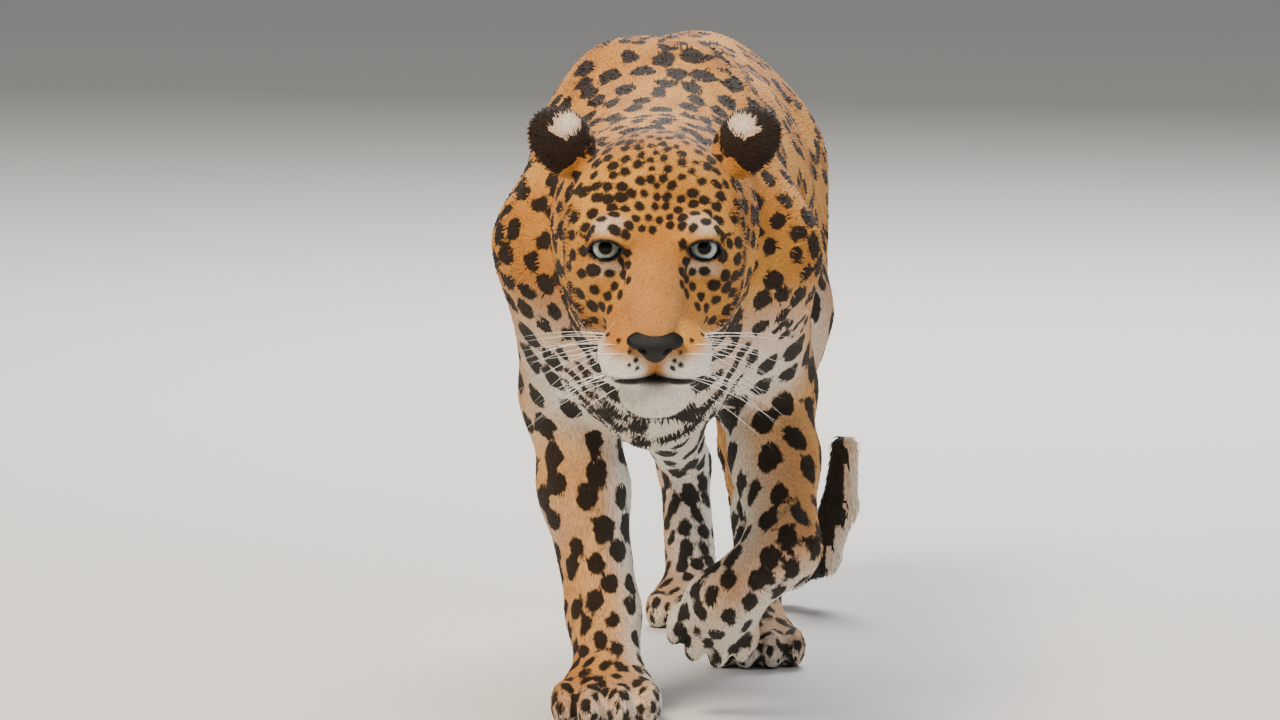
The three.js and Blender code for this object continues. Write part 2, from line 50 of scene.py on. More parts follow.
MM = 0.001
EYE_SPACING = 86
EYE_RADIUS = 17.5
EYE_LINE = np.array([0.0, -480.0, 496.0])
HEAD_PITCH = math.radians(33)
PAW_WIDTH = 106
HIND_PAW_WIDTH = 94
FORWARD = np.array([0, -math.cos(HEAD_PITCH), -math.sin(HEAD_PITCH)])
UP = np.array([0, -math.sin(HEAD_PITCH), math.cos(HEAD_PITCH)])
SIDE = np.array([1.0, 0, 0])
HEAD_AXES = np.array([SIDE, FORWARD, UP])
LIFTED = np.array([-0.27, 0.28, -0.92]) / np.linalg.norm([-0.27, 0.28, -0.92])

# shoulder or hip, elbow or knee, wrist or heel, knuckle
LEGS = {
    "fore_right": ((-92, -98, 457), (-80, 35, 298), (-48, 8, 98), (-43, -24, 41)),
    "fore_left": ((97, -90, 450), (107, 60, 300), (122, -62, 168), (66, -56, 118)),
    "hind_right": ((-8, 622, 452), (0, 545, 264), (30, 735, 150), (38, 688, 34)),
    "hind_left": ((90, 620, 452), (122, 438, 335), (102, 474, 132), (98, 392, 36)),
}
# place and radius, from the root to the tip
TAIL = (
    (50, 735, 522, 38), (57, 800, 440, 28), (70, 860, 285, 22), (84, 872, 150, 21),
    (100, 850, 68, 20), (135, 815, 36, 20), (166, 792, 52, 20), (185, 786, 102, 19),
    (190, 789, 160, 16),
)
EAR_PLACE = (84, -364, 580)
LENS_MM, SENSOR_MM, LOOK_DOWN = 433.0, 36.0, 6.5
CAMERA_PLACE = (-13.6, -14402.0, 1979.0)

# the face lies before these places along the body
FINE_MESH, FINE_PULL, FACE_COAT, SHARP_CREAM = -452, -445, -440, -420
TAIL_TIP_SIDE, TAIL_BEHIND = 150, 740


def unit(v):
    """A vector, or rows of vectors, at length one."""
    v = np.asarray(v, float)
    return v / np.maximum(np.linalg.norm(v, axis=-1, keepdims=True), 1e-9)


def head_place(x, f, u):
    """A place on the head: sideways, forward of and above the line between the eyes."""
    return EYE_LINE + x * SIDE + f * FORWARD + u * UP


def box_centre(node):
    """The middle of a node's box, in millimetres."""
    low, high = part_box(node)
    return (np.array(low) + np.array(high)) / 2 / MM


SHIFT = box_centre("eye_left") - np.array([EYE_SPACING / 2, EYE_LINE[1] + EYE_RADIUS - 1, EYE_LINE[2]])
SHIFT[2] = 0.0


# Fields: a form is (kind, numbers, blend width); distances are negative inside


def limb(a, ra, b, rb, k=0.01):
    """A capsule from a to b whose radius runs from ra to rb."""
    return ("limb", (np.array(a, float), ra, np.array(b, float), rb), k)


def ball(centre, radii, k=0.01, axes=None):
    """An ellipsoid, level or along its own axes."""
    return ("ball", (np.array(centre, float), np.array(radii, float), axes), k)


def form_distance(form, p):
    kind, numbers, _ = form
    if kind == "limb":
        a, ra, b, rb = numbers
        ab = b - a
        t = np.clip((p - a) @ ab / (ab @ ab), 0, 1)
        return np.linalg.norm(p - a - t[:, None] * ab, axis=1) - (ra + (rb - ra) * t)
    centre, radii, axes = numbers
    q = p - centre
    if axes is not None:
        q = q @ axes.T
    k0 = np.linalg.norm(q / radii, axis=1)
    k1 = np.linalg.norm(q / radii**2, axis=1)
    return np.where(k1 < 1e-9, -radii.min(), k0 * (k0 - 1) / np.maximum(k1, 1e-9))


def form_box(form):
    kind, numbers, k = form
    if kind == "limb":
        a, ra, b, rb = numbers
        r = max(ra, rb)
        return np.minimum(a, b) - r, np.maximum(a, b) + r
    return numbers[0] - numbers[1].max(), numbers[0] + numbers[1].max()


def smooth_min(a, b, k):
    """The smaller of two distances, rounded where they differ by less than k."""
    h = np.maximum(k - np.abs(a - b), 0) / k
    return np.minimum(a, b) - h * h * k / 4


def blend(p, forms, start=None):
    """Smooth union of the forms, each worked out only near itself."""
    d = np.full(len(p), 90.0) if start is None else start.copy()
    for form in forms:
        low, high = form_box(form)
        margin = form[2] + 14
        near = np.flatnonzero(np.all((p > low - margin) & (p < high + margin), axis=1))
        if not len(near):
            continue
        d[near] = smooth_min(d[near], form_distance(form, p[near]), form[2])
    return d


TRUNK = [
    ball((4, 90, 452), (130, 262, 178)),
    ball((28, 400, 448), (131, 270, 148), 60),
    ball((42, 640, 474), (98, 150, 119), 60),
    ball((0, -70, 385), (78, 100, 126), 60),
    limb((-34, 12, 600), 34, (-92, -92, 460), 50, 50),
    limb((38, 12, 600), 34, (97, -86, 455), 50, 50),
    limb((0, 20, 520), 104, (0, -250, 492), 90, 50),
    limb((0, -250, 492), 90, (0, -385, 512), 72, 40),
    limb((0, -120, 420), 84, (0, -375, 440), 56, 50),
]
HEAD = [ball(head_place(0, -84, -26), (72, 90, 62), 30, HEAD_AXES)]
for s in (-1, 1):
    HEAD += [
        ball(head_place(s * 44, -50, -44), (39, 64, 50), 26, HEAD_AXES),
        ball(head_place(s * 38, -46, -84), (38, 60, 36), 26, HEAD_AXES),
        ball(head_place(s * 37, -6, 14), (23, 23, 13), 14, HEAD_AXES),
    ]
HEAD += [
    limb(head_place(0, -20, -14), 32, head_place(0, 92, -27), 20, 22),
    ball(head_place(0, 40, -60), (45, 52, 34), 26, HEAD_AXES),
    ball(head_place(-24, 84, -55), (29, 32, 27), 10, HEAD_AXES),
    ball(head_place(24, 84, -55), (29, 32, 27), 10, HEAD_AXES),
    limb(head_place(0, -20, -96), 30, head_place(0, 72, -96), 25, 20),
    ball(head_place(0, 91, -97), (33, 26, 21), 12, HEAD_AXES),
]


def paw(knuckle, ahead, across, width):
    """A pad block, a heel pad and four toes."""
    out = np.cross(ahead, across)
    axes, s = np.array([across, ahead, out]), width / 106

    def at(x, f, u):
        return np.array(knuckle, float) + s * (x * across + f * ahead + u * out)

    forms = [
        ball(at(0, 18, -10), np.array((46, 46, 27)) * s, 18, axes),
        ball(at(0, 2, -26), np.array((34, 30, 20)) * s, 10, axes),
    ]
    for x, f in ((-38, 46), (-13.5, 60), (13.5, 60), (38, 46)):
        forms.append(ball(at(x, f, -20), np.array((16, 30, 24)) * s, 7, axes))
    return forms


def level_way(turn):
    return np.array([math.sin(turn), -math.cos(turn), 0])


def across_of(ahead):
    return -unit(np.cross(ahead, (0, 0, 1)))


PAW_FRAMES = {
    "fore_right": (level_way(-0.05), across_of(level_way(-0.05)), PAW_WIDTH),
    "fore_left": (LIFTED, unit(SIDE - LIFTED[0] * LIFTED), PAW_WIDTH * 0.86),
    "hind_right": (level_way(0), across_of(level_way(0)), HIND_PAW_WIDTH),
    "hind_left": (level_way(0.05), across_of(level_way(0.05)), HIND_PAW_WIDTH),
}


def mix(a, b, t):
    return np.array(a, float) * (1 - t) + np.array(b, float) * t


def leg(name):
    a, b, c, d = (np.array(v, float) for v in LEGS[name])
    foot = paw(d, *PAW_FRAMES[name])
    if name.startswith("fore"):
        mid = mix(b, c, 0.42)
        return [
            limb(a, 52, b, 42, 50), limb(mix(a, b, 0.35) + (0, 74, 18), 46, b + (0, 8, 22), 34, 36),
            limb(b, 43, mid, 42, 30), limb(mid, 42, c, 35, 24), limb(c, 35, d, 33, 16), *foot,
        ]
    calf, heel = mix(b, c, 0.45), c + 16 * unit(c - d)
    return [
        limb(a, 82, b, 50, 50),
        limb(a + (0, 62, -20), 62, mix(b, c, 0.3) + (0, 26, 12), 32, 50),
        limb(b, 47, calf, 36, 30), limb(calf, 36, c, 25, 24), limb(mix(b, c, 0.55), 24, heel, 17, 20),
        limb(c, 26, d, 27, 18), *foot,
    ]


LEG_FORMS = {name: leg(name) for name in LEGS}
TAIL_FORMS = [
    limb(a[:3], a[3], b[:3], b[3], 40 if i == 0 else 10) for i, (a, b) in enumerate(zip(TAIL, TAIL[1:]))
]


def smooth_max(a, b, k):
    """The larger of two distances, rounded where they differ by less than k."""
    h = np.maximum(k - np.abs(a - b), 0) / k
    return np.maximum(a, b) + h * h * k / 4


def eye_frame(s):
    """Place and axes (across, up, gaze) of one eye."""
    gaze = unit((s * 0.12, -1, -0.02))
    across = unit(np.cross((0, 0, 1), gaze))
    return np.array([s * EYE_SPACING / 2, EYE_LINE[1] + EYE_RADIUS - 1, EYE_LINE[2]]), np.array(
        [across, np.cross(gaze, across), gaze])


def eye_local(p, s):
    """Points in an eye's frame with the opening's slant taken out: inner corners lie lower."""
    place, axes = eye_frame(s)
    q = (p - place) @ axes.T
    c, n = math.cos(0.16), math.sin(0.16) * s
    return np.stack([q[:, 0] * c - q[:, 1] * n, q[:, 0] * n + q[:, 1] * c, q[:, 2]], 1)


LID_HALF_WIDTH, LID_HALF_HEIGHT, LID_DROP = 16.0, 8.6, 1.4


def lid_opening(q):
    """Distance to the lens-shaped opening between the lids: two circles' common part."""
    radius = (LID_HALF_WIDTH**2 + LID_HALF_HEIGHT**2) / (2 * LID_HALF_HEIGHT)
    q = q + (0, LID_DROP, 0)
    low = np.hypot(q[:, 0], q[:, 1] - radius + LID_HALF_HEIGHT) - radius
    high = np.hypot(q[:, 0], q[:, 1] + radius - LID_HALF_HEIGHT) - radius
    return np.maximum(low, high)


def ear_frame(s):
    """Middle and axes (width, way the cup opens, length) of one ear."""
    along, opening = unit((s * 0.62, 0.05, 0.78)), unit((s * 0.45, 0.75, -0.45))
    across = unit(np.cross(opening, along))
    return np.array(EAR_PLACE, float) * (s, 1, 1), np.array([across, opening, along])


def ear_distance(p, s):
    """An ellipsoid less a smaller one pushed out of its mouth, cut off flat in front."""
    centre, axes = ear_frame(s)
    opening = axes[1]
    outer = form_distance(ball(centre, (32, 20, 36), axes=axes), p)
    hollow = form_distance(ball(centre + 9 * opening, (27.5, 19.5, 30.5), axes=axes), p)
    return smooth_max(smooth_max(outer, -hollow, 3), (p - centre) @ opening - 8, 4)


def coat_depth(p):
    """How far the skin lies under the outline of the coat."""
    face = np.clip((p[:, 1] + 470) / 150, 0, 1)
    low = np.clip((p[:, 2] - 40) / 220, 0, 1)
    return 0.9 + 2.6 * face * (0.3 + 0.7 * low)


def skin_field(p):
    """Distance to the skin: all forms blended, sunk by the coat, with ears, lids and sockets."""
    trunk = blend(p, TRUNK)
    head = blend(p, HEAD, trunk)
    d = np.minimum(head, blend(p, TAIL_FORMS, trunk))
    for forms in LEG_FORMS.values():
        d = np.minimum(d, blend(p, forms, trunk))
    d = d + coat_depth(p)
    near = np.flatnonzero(p[:, 1] < -300)
    q, e = p[near], d[near]
    for s in (-1, 1):
        e = smooth_min(e, ear_distance(q, s), 9)
        local = eye_local(q, s)
        reach = np.linalg.norm(local, axis=1)
        e = smooth_min(e, reach - EYE_RADIUS - 3.0, 7)
        front = np.maximum(lid_opening(local), 2 - local[:, 2])
        e = smooth_max(e, -front, 1.6)
        e = np.maximum(e, EYE_RADIUS + 0.3 - reach)
    d[near] = e
    return np.maximum(d, 0.4 - p[:, 2])


# Surface of a field on a graded grid


def steps(*spans):
    """Grid lines over spans of (start, end, step)."""
    lines = [np.linspace(a, b, max(2, round((b - a) / step)) + 1)[:-1] for a, b, step in spans]
    return np.concatenate([*lines, [spans[-1][1]]])


def net_surface(field, gx, gy, gz):
    """One vertex in each crossed cell at the mean of its edge crossings, one quad round each crossed
    grid edge."""
    shape = (len(gx), len(gy), len(gz))
    points = np.stack(np.meshgrid(gx, gy, gz, indexing="ij"), -1).reshape(-1, 3)
    value = np.concatenate([field(chunk) for chunk in np.array_split(points, 12)]).reshape(shape)
    inside = value < 0
    corner = [(i, j, k) for i in (0, 1) for j in (0, 1) for k in (0, 1)]
    cells = tuple(n - 1 for n in shape)

    def shifted(array, c):
        return array[c[0]:c[0] + cells[0], c[1]:c[1] + cells[1], c[2]:c[2] + cells[2]]

    count = sum(shifted(inside, c).astype(np.int8) for c in corner)
    crossed = (count > 0) & (count < 8)
    at = np.argwhere(crossed)
    number = np.full(cells, -1)
    number[crossed] = np.arange(len(at))
    total, hits = np.zeros((len(at), 3)), np.zeros(len(at))
    for a in corner:
        for axis in range(3):
            if a[axis]:
                continue
            b = tuple(v + (i == axis) for i, v in enumerate(a))
            ia, ib = tuple((at + a).T), tuple((at + b).T)
            va, vb = value[ia], value[ib]
            hit = (va < 0) != (vb < 0)
            t = np.where(hit, va / np.where(hit, va - vb, 1), 0)
            pa = np.stack([g[i] for g, i in zip((gx, gy, gz), ia)], 1)
            pb = np.stack([g[i] for g, i in zip((gx, gy, gz), ib)], 1)
            total += np.where(hit[:, None], pa + (pb - pa) * t[:, None], 0)
            hits += hit
    quads = []
    for axis, (u, w) in enumerate(((1, 2), (2, 0), (0, 1))):
        low = [slice(None)] * 3
        high = [slice(None)] * 3
        low[axis], high[axis] = slice(0, -1), slice(1, None)
        a, b = inside[tuple(low)], inside[tuple(high)]
        e = np.argwhere(a != b)
        e = e[(e[:, u] > 0) & (e[:, w] > 0) & (e[:, u] < cells[u]) & (e[:, w] < cells[w])]
        starts_inside = a[tuple(e.T)]
        ring = []
        for du, dw in ((-1, -1), (0, -1), (0, 0), (-1, 0)):
            c = e.copy()
            c[:, u] += du
            c[:, w] += dw
            ring.append(number[tuple(c.T)])
        ring = np.stack(ring, 1)
        quads.append(np.where(starts_inside[:, None], ring, ring[:, ::-1]))
    return total / hits[:, None], np.concatenate(quads)


def slope(field, p, step=0.6):
    """Gradient of a field by central differences."""
    g = np.empty_like(p)
    for i in range(3):
        d = np.zeros(3)
        d[i] = step
        g[:, i] = (field(p + d) - field(p - d)) / (2 * step)
    return g


def pulled(field, p, rounds=2, limit=3.0):
    """Points moved along the field's slope onto its surface."""
    for _ in range(rounds):
        g = slope(field, p)
        move = -g * (field(p) / np.maximum((g * g).sum(1), 0.25))[:, None]
        size = np.linalg.norm(move, axis=1)
        p = p + move * np.minimum(1, limit / np.maximum(size, 1e-6))[:, None]
    return p


def mesh_object(name, points, faces, material, smooth=True):
    """A mesh object from points in millimetres, its place in its mesh."""
    mesh = bpy.data.meshes.new(name)
    sizes = np.full(len(faces), faces.shape[1])
    mesh.vertices.add(len(points))
    mesh.vertices.foreach_set("co", ((points + SHIFT) * MM).astype(np.float32).ravel())
    mesh.loops.add(faces.size)
    mesh.loops.foreach_set("vertex_index", faces.astype(np.int32).ravel())
    mesh.polygons.add(len(faces))
    mesh.polygons.foreach_set("loop_start", (np.cumsum(sizes) - sizes).astype(np.int32))
    mesh.polygons.foreach_set("use_smooth", np.full(len(faces), smooth))
    mesh.update(calc_edges=True)
    mesh.materials.append(material)
    piece = bpy.data.objects.new(name, mesh)
    bpy.context.collection.objects.link(piece)
    return piece


def set_attribute(piece, name, values):
    layer = piece.data.attributes.new(name, "FLOAT", "POINT")
    layer.data.foreach_set("value", values.astype(np.float32))


# Materials


def colour(code):
    """An sRGB hex colour as linear RGBA."""
    parts = [int(code[i:i + 2], 16) / 255 for i in (1, 3, 5)]
    return (*[c / 12.92 if c <= 0.04045 else ((c + 0.055) / 1.055) ** 2.4 for c in parts], 1.0)


class Nodes:
    """A material's node tree, with one call that adds a node and joins its inputs."""

    def __init__(self, name):
        self.material = bpy.data.materials.new(name)
        self.material.use_nodes = True
        self.tree = self.material.node_tree
        self.tree.nodes.clear()

    def add(self, kind, inputs=None, **settings):
        node = self.tree.nodes.new("ShaderNode" + kind)
        for key, value in settings.items():
            setattr(node, key, value)
        for key, value in (inputs or {}).items():
            if isinstance(value, bpy.types.NodeSocket):
                self.tree.links.new(value, node.inputs[key])
            else:
                node.inputs[key].default_value = value
        return node

    def value(self, operation, a, b=0.0, c=0.0):
        node = self.add("Math", {0: a, 1: b, 2: c}, operation=operation)
        return node.outputs[0]

    def ramp(self, value, low, high):
        """Smooth step from 0 at low to 1 at high."""
        node = self.add("MapRange", {"Value": value, "From Min": low, "From Max": high},
                        interpolation_type="SMOOTHSTEP")
        return node.outputs["Result"]

    def mix(self, factor, a, b):
        node = self.add("Mix", data_type="RGBA")
        for key, value in ((0, factor), (6, a), (7, b)):
            if isinstance(value, bpy.types.NodeSocket):
                self.tree.links.new(value, node.inputs[key])
            else:
                node.inputs[key].default_value = value
        return node.outputs[2]

    def attribute(self, name):
        return self.add("Attribute", attribute_name=name).outputs["Fac"]

    def noise(self, vector, scale, detail=2.0, roughness=0.5):
        node = self.add("TexNoise", {"Vector": vector, "Scale": scale, "Detail": detail,
                                     "Roughness": roughness})
        return node.outputs["Fac"]

    def finish(self, shader):
        self.add("OutputMaterial", {"Surface": shader.outputs[0]})
        return self.material


def coat_material(name, is_tuft):
    """Short fur: ground colour from tawny to cream, black marks with ragged edges, hair relief."""
    n = Nodes(name)
    place = n.add("TexCoord").outputs["Object"]
    cream, rust, bare = (n.attribute(key) for key in ("cream", "rust", "bare"))
    mark, legs = n.attribute("mark"), n.attribute("legs")
    stretch = []
    for scale in ((1.0, 0.16, 1.0), (1.0, 1.0, 0.16)):
        stretch.append(n.add("Mapping", {"Vector": place, "Scale": scale}).outputs[0])
    hair_back = n.noise(stretch[0], 760.0, 3.0, 0.65)
    hair_down = n.noise(stretch[1], 760.0, 3.0, 0.65)
    hair = n.value("ADD", n.value("MULTIPLY", hair_back, n.value("SUBTRACT", 1.0, legs)),
                   n.value("MULTIPLY", hair_down, legs))
    patchy = n.noise(place, 14.0, 3.0)
    ragged = n.noise(place, 150.0, 3.0, 0.6)
    bent = n.noise(place, 52.0, 2.0, 0.5)
    ground = n.mix(n.ramp(patchy, 0.35, 0.7), colour("#b9772c"), colour("#d2933f"))
    ground = n.mix(n.value("MULTIPLY", rust, 0.75), ground, colour("#9c5a1f"))
    ground = n.mix(cream, ground, colour("#efe6d6"))
    fleck = n.value("MULTIPLY_ADD", hair, 1.9, 0.05)
    shade = n.add("HueSaturation", {"Value": fleck, "Color": ground}).outputs[0]
    edge = n.value("ADD", mark, n.value("MULTIPLY_ADD", ragged, 4.0, -2.0))
    wander = n.value("MULTIPLY_ADD", bent, 22.0, -11.0)
    edge = n.value("ADD", edge, n.value("MULTIPLY", n.attribute("loose"), wander))
    edge = n.value("ADD", edge, n.value("MULTIPLY_ADD", hair, 3.0, -1.5))
    black = n.value("SUBTRACT", 1.0, n.ramp(edge, -1.2, 1.4))
    shade = n.mix(n.value("MULTIPLY", black, 0.97), shade, colour("#080402"))
    shade = n.mix(bare, shade, colour("#120c0a"))
    rough = n.value("MULTIPLY_ADD", bare, -0.28, 0.72)
    inputs = {"Base Color": shade, "Roughness": rough, "Specular IOR Level": 0.18,
              "Sheen Weight": 0.03, "Sheen Roughness": 0.5}
    if not is_tuft:
        depth = n.add("Bump", {"Height": hair, "Strength": 0.9, "Distance": 0.003})
        inputs["Normal"] = depth.outputs[0]
    return n.finish(n.add("BsdfPrincipled", inputs))


def plain_material(name, code, rough, bump_scale=0.0, **extra):
    n = Nodes(name)
    inputs = {"Base Color": colour(code), "Roughness": rough}
    inputs.update({key.replace("_", " "): value for key, value in extra.items()})
    if bump_scale:
        place = n.add("TexCoord").outputs["Object"]
        cells = n.add("TexVoronoi", {"Vector": place, "Scale": bump_scale}).outputs["Distance"]
        inputs["Normal"] = n.add("Bump", {"Height": cells, "Strength": 0.5,
                                          "Distance": 0.001}).outputs[0]
    return n.finish(n.add("BsdfPrincipled", inputs))


def eye_material():
    """Pale silver iris with radial fibres, dark rim and a round pupil; `ring` is the distance from
    the axis of the gaze in millimetres and `turn` the angle round it."""
    n = Nodes("wet eye with a pale iris")
    ring, turn = n.attribute("ring"), n.attribute("turn")
    spokes = n.add("CombineXYZ", {0: n.value("MULTIPLY", turn, 9.0), 1: n.value("MULTIPLY", ring, 0.25)})
    fibre = n.noise(spokes.outputs[0], 3.0, 4.0, 0.7)
    iris = n.mix(n.ramp(fibre, 0.35, 0.7), colour("#7f8f92"), colour("#cbd6d4"))
    iris = n.mix(n.ramp(ring, 8.0, 6.2), iris, colour("#8f8d6c"))
    iris = n.mix(n.ramp(ring, 11.2, 12.6), iris, colour("#1b1714"))
    iris = n.mix(n.ramp(ring, 6.3, 5.6), iris, colour("#010101"))
    iris = n.mix(n.ramp(ring, 13.6, 14.6), iris, colour("#4a3a30"))
    inputs = {"Base Color": iris, "Roughness": 0.3, "Specular IOR Level": 0.1, "Coat Weight": 0.12,
              "Coat Roughness": 0.02}
    return n.finish(n.add("BsdfPrincipled", inputs))


# The skin

GX = steps((-195, -95, 8.5), (-95, 95, 3.9), (95, 225, 8.5))
GY = steps((-600, -330, 3.5), (-330, -120, 8.5), (-120, 0, 5.4), (0, 290, 10), (290, 400, 5.2),
           (400, 600, 10), (600, 720, 5.4), (720, 910, 7))
GZ = steps((-8, 62, 4.4), (62, 340, 7.6), (340, 615, 3.9), (615, 665, 6.5))


def line_of_mouth(p):
    """Head places of points, and their height over the line of the mouth."""
    h = (p - EYE_LINE) @ HEAD_AXES.T
    height = (h[:, 2] + 64) + 0.47 * (112 - h[:, 1])
    return h, height


def face_relief(p, normal):
    """Presses the mouth line and the groove under the nose into the face, and swells the lips."""
    h, height = line_of_mouth(p)
    on = np.clip((h[:, 1] - 42) / 18, 0, 1) * (h[:, 2] < -35)
    move = on * (-3.4 * np.exp(-(height / 1.7) ** 2) + 1.5 * np.exp(-((np.abs(height) - 5) / 3) ** 2))
    groove = (np.abs(h[:, 0]) < 6) & (h[:, 1] > 95) & (h[:, 2] < -34) & (height > 0)
    move += groove * -2.2 * np.exp(-(h[:, 0] / 1.5) ** 2)
    return p + normal * move[:, None]


def build_skin(material):
    """The skin's net pulled onto its field, the face divided once more and pressed into relief."""
    points, quads = net_surface(skin_field, GX, GY, GZ)
    points = pulled(skin_field, points, 2)
    piece = mesh_object("skin", points, quads, material)
    b = bmesh.new()
    b.from_mesh(piece.data)
    limit = (FINE_MESH + SHIFT[1]) * MM
    edges = [e for e in b.edges if all(v.co.y < limit for v in e.verts)]
    bmesh.ops.subdivide_edges(b, edges=edges, cuts=1, use_grid_fill=True)
    uneven = [f for f in b.faces if len(f.verts) > 4 or f.calc_center_median().y < limit]
    bmesh.ops.triangulate(b, faces=uneven)
    b.to_mesh(piece.data)
    b.free()
    co = np.empty(len(piece.data.vertices) * 3, np.float32)
    piece.data.vertices.foreach_get("co", co)
    p = co.reshape(-1, 3) / MM - SHIFT
    face = p[:, 1] < FINE_PULL
    p[face] = pulled(skin_field, p[face], 2, 1.5)
    normal = unit(slope(skin_field, p))
    p[face] = face_relief(p[face], normal[face])
    piece.data.vertices.foreach_set("co", ((p + SHIFT) * MM).astype(np.float32).ravel())
    piece.data.polygons.foreach_set("use_smooth", np.ones(len(piece.data.polygons), bool))
    piece.data.update()
    return piece, p, normal


# Regions and marks


def regions(p):
    """Head places and heights over the mouth, and weights of the legs, the tail and the head."""
    h, height = line_of_mouth(p)
    trunk = blend(p, TRUNK)
    limbs = np.min([blend(p, forms) for forms in LEG_FORMS.values()], axis=0)
    legs = np.clip((trunk - limbs) / 40 + 0.5, 0, 1) * np.clip((430 - p[:, 2]) / 60, 0, 1)
    tail = (blend(p, TAIL_FORMS) < trunk - 2) & (p[:, 1] > TAIL_BEHIND)
    return {"h": h, "mouth": height, "legs": legs * ~tail, "tail": tail.astype(float),
            "head": np.clip((-318 - p[:, 1]) / 30, 0, 1)}


def cream_weight(p, normal, r):
    """Where the ground colour fades to cream: below, inside the limbs, throat, chin, brows."""
    below = np.clip(-normal[:, 2] * 1.6 - 0.1, 0, 1) * np.clip((430 - p[:, 2]) / 100, 0, 1)
    chest = np.clip((-90 - p[:, 1]) / 60, 0, 1) * np.clip((400 - p[:, 2]) / 60, 0, 1)
    chest *= np.clip((92 - np.abs(p[:, 0])) / 40, 0, 1)
    inner = np.zeros(len(p))
    for name, forms in LEG_FORMS.items():
        near = np.clip((26 - blend(p, forms)) / 20, 0, 1)
        inward = normal[:, 0] * (-1 if name.endswith("left") else 1)
        low = np.clip((405 - p[:, 2]) / 110, 0, 1)
        inner = np.maximum(inner, near * np.clip(inward * 2.2 - 0.75, 0, 1) * low)
    frontal = np.clip(-normal[:, 1], 0, 1) * (r["legs"] > 0.5) * np.where(p[:, 1] > 250, 0.85, 0.12)
    h = r["h"]
    chin = np.clip(-(r["mouth"] - 4) / 8, 0, 1) * (h[:, 1] > -60)
    lips = np.clip((-36 - h[:, 2]) / 12, 0, 1) * np.clip((h[:, 1] - 52) / 22, 0, 1)
    lips = lips * np.clip((np.abs(h[:, 0]) - 5) / 8, 0, 1)
    jowl = np.clip((-84 - h[:, 2]) / 20, 0, 1) * (h[:, 1] > -130)
    brow = np.zeros(len(p))
    for s in (-1, 1):
        q = eye_local(p, s)
        above = np.hypot((q[:, 0] + s * 6) / 15, (q[:, 1] - 21) / 7)
        under = np.hypot((q[:, 0] - s * 2) / 17, (q[:, 1] + 19) / 6)
        brow = np.maximum(brow, np.clip(1.5 - np.minimum(above, under), 0, 1) * (q[:, 2] > -12))
    on_head = r["head"]
    ears = np.max([np.logical_and.reduce(ear_parts(p, normal, s)) for s in (-1, 1)], axis=0)
    bridge = 0.05 * np.clip((h[:, 1] - 5) / 35, 0, 1) * np.clip((36 - np.abs(h[:, 0])) / 16, 0, 1)
    face = np.maximum.reduce([bridge, chin, lips, jowl * 0.6, brow * 0.45, ears * 1.0]) * on_head
    body = np.maximum.reduce([below, chest, inner, frontal]) * (1 - on_head)
    tail = r["tail"] * np.clip(normal[:, 0] * 1.4 - 0.1, 0, 1) * np.clip((330 - p[:, 2]) / 150, 0, 1)
    return np.clip(np.maximum.reduce([face, body, tail]), 0, 1)


def smoothed(piece, values, rounds):
    """Values averaged with their neighbours along the mesh's edges, several times over."""
    ends = np.empty(len(piece.data.edges) * 2, np.int32)
    piece.data.edges.foreach_get("vertices", ends)
    a, b = ends.reshape(-1, 2).T
    count = np.bincount(a, minlength=len(values)) + np.bincount(b, minlength=len(values)) + 1.0
    for _ in range(rounds):
        beside = np.bincount(a, values[b], len(values)) + np.bincount(b, values[a], len(values))
        values = (values + beside) / count
    return values


def spacing(p, r):
    """Distance between neighbouring marks, finest on the forehead and the paws."""
    gap = np.interp(p[:, 1], (-150, -60, 60, 250), (22.0, 25.0, 37.0, 50.0))
    gap = np.where(r["legs"] > 0.4, np.interp(p[:, 2], (0, 70, 200, 420), (10, 16, 25, 30)), gap)
    gap = np.where(r["tail"] > 0.5, 34.0, gap)
    h = r["h"]
    head_gap = np.interp(np.abs(h[:, 0]), (0, 20, 60, 90), (8.5, 10.5, 13.5, 17))
    return np.where(r["head"] > 0.5, head_gap, gap)


def no_marks(p, r):
    """The bridge of the nose, the muzzle, the lids and the ears carry no round marks."""
    h = r["h"]
    bridge = (h[:, 1] > -2) & (np.abs(h[:, 0]) < 24) & (h[:, 2] > -40)
    muzzle = (h[:, 1] > 38)
    ears = (np.abs(p[:, 0]) > 58) & (p[:, 2] > 548) & (p[:, 1] < -325)
    lids = np.min([np.hypot(*(eye_local(p, s)[:, :2].T)) for s in (-1, 1)], axis=0) < 20
    return (r["head"] > 0.5) & (bridge | muzzle | ears | lids)


def scatter(p, gap, allowed):
    """Indices of points that keep their own distance from one another."""
    cell, kept, chosen = 30.0, {}, []
    for i in random.permutation(np.flatnonzero(allowed)):
        key = tuple((p[i] // cell).astype(int))
        reach = int(np.ceil(gap[i] / cell))
        span = range(-reach, reach + 1)
        near = [j for a in span for b in span for c in span
                for j in kept.get((key[0] + a, key[1] + b, key[2] + c), ())]
        if near and np.min(np.linalg.norm(p[near] - p[i], axis=1)) < gap[i]:
            continue
        kept.setdefault(key, []).append(i)
        chosen.append(i)
    return chosen


def lie_of_coat(p, normal, r):
    """Direction of the hair along the skin: back along the body, down the limbs, out on the ruff."""
    way = np.tile((0.0, 1.0, -0.25), (len(p), 1))
    way += r["legs"][:, None] * np.array((0, -0.6, -1.6))
    way += r["tail"][:, None] * np.array((0, -0.4, -1.2))
    outward = np.stack([np.sign(p[:, 0]) * np.clip(np.abs(p[:, 0]) / 70, 0, 1), np.zeros(len(p)),
                        np.full(len(p), 0.2)], 1)
    way += r["head"][:, None] * outward * 0.7
    way -= normal * (way * normal).sum(1)[:, None]
    return unit(way)


